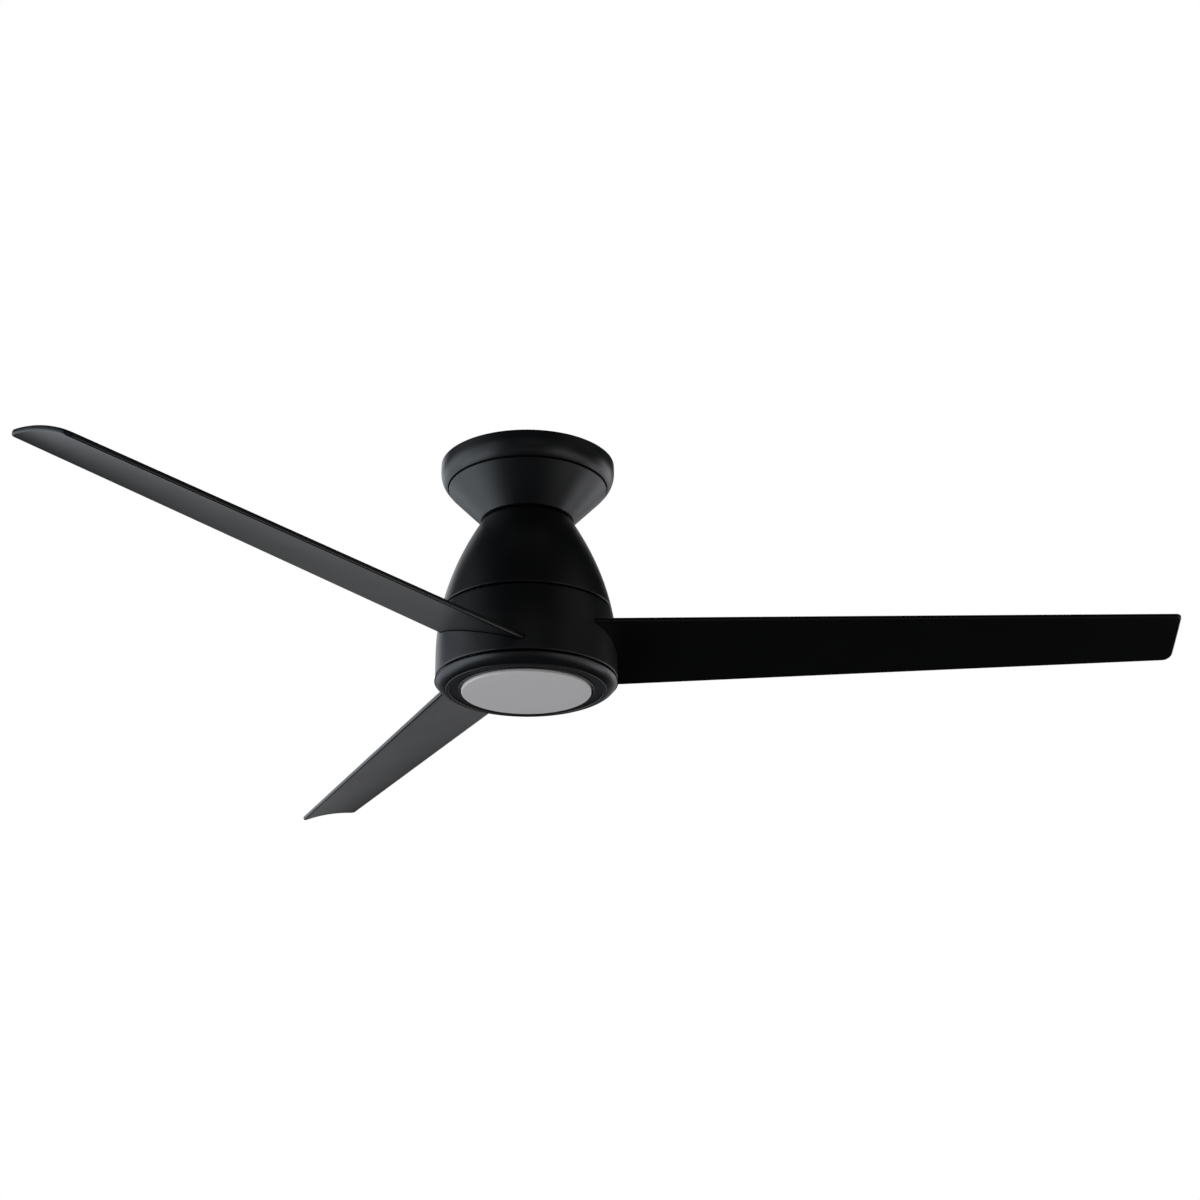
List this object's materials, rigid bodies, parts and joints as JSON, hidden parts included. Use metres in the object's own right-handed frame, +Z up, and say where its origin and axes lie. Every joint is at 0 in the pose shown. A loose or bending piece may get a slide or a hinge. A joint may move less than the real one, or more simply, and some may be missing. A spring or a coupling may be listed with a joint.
{
  "type": "ceiling fan with light",
  "caption": "Flush-mount ceiling fan: a waisted black housing, tapered pitched blades that turn with its lower part, and a round opal light underneath.",
  "frame": {"origin": "on the spin axis, in the plane of the ceiling that the fan hangs from", "axes": "+Z up along the spin axis, into the ceiling; the first blade points along +X"},
  "size_m": [1.0331, 1.1728, 0.2585],
  "materials": {
    "black_coat": "matte powder coat",
    "blade_black": "matte",
    "retainer_black": "matte",
    "opal": "satin",
    "zinc_steel": "satin",
    "cast_aluminium": "satin",
    "bearing_steel": "polished",
    "core_steel": "matte",
    "copper": "satin",
    "magnet": "matte",
    "rubber": "matte",
    "box_plastic": "matte",
    "white_plastic": "satin",
    "board_white": "matte",
    "cable_grey": "matte",
    "earth_green": "matte"
  },
  "bodies": {
    "housing": {"ceiling_bracket": "zinc_steel", "canopy_ring": "black_coat", "canopy_cone": "black_coat", "dome_shell": "black_coat", "hanger_plate": "zinc_steel", "hanger_post_1": "zinc_steel", "hanger_post_2": "zinc_steel", "hanger_post_3": "zinc_steel", "post_screw_1": "bearing_steel", "post_screw_2": "bearing_steel", "post_screw_3": "bearing_steel", "shaft_collar": "cast_aluminium", "collar_set_screw": "bearing_steel", "motor_shaft": "bearing_steel", "neck_spacer": "zinc_steel", "neck_gasket": "rubber", "dome_nut": "zinc_steel", "receiver_box": "box_plastic", "terminal_block": "white_plastic", "earth_screw": "earth_green", "mains_lead": "cable_grey", "earth_lead": "earth_green", "motor_cable": "cable_grey", "light_cable": "cable_grey", "led_lead": "cable_grey", "stator_core": "core_steel", "stator_windings": "copper", "upper_bearing_inner_race": "bearing_steel", "lower_bearing_inner_race": "bearing_steel", "light_plate": "zinc_steel", "light_ring": "black_coat", "light_screw_1": "bearing_steel", "light_screw_2": "bearing_steel", "light_screw_3": "bearing_steel", "lens_retainer": "retainer_black", "diffuser_lens": "opal", "led_heat_sink": "cast_aluminium", "led_board": "board_white", "led_driver": "white_plastic"},
    "rotor": {"rotor_body": "black_coat", "blade_1": "blade_black", "blade_2": "blade_black", "blade_3": "blade_black", "blade_holder_1": "cast_aluminium", "blade_holder_2": "cast_aluminium", "blade_holder_3": "cast_aluminium", "blade_screw_1a": "bearing_steel", "blade_screw_1b": "bearing_steel", "blade_screw_2a": "bearing_steel", "blade_screw_2b": "bearing_steel", "blade_screw_3a": "bearing_steel", "blade_screw_3b": "bearing_steel", "holder_screw_1": "bearing_steel", "holder_screw_2": "bearing_steel", "holder_screw_3": "bearing_steel", "motor_can": "cast_aluminium", "motor_end_plate": "cast_aluminium", "magnet_ring": "magnet", "upper_bearing_outer_race": "bearing_steel", "lower_bearing_outer_race": "bearing_steel"}
  },
  "joints": [
    {"name": "rotor_spin", "type": "hinge", "parent": "housing", "child": "rotor", "pos_m": [0, 0, -0.2175], "axis": [0, 0, 1], "continuous": true}
  ]
}
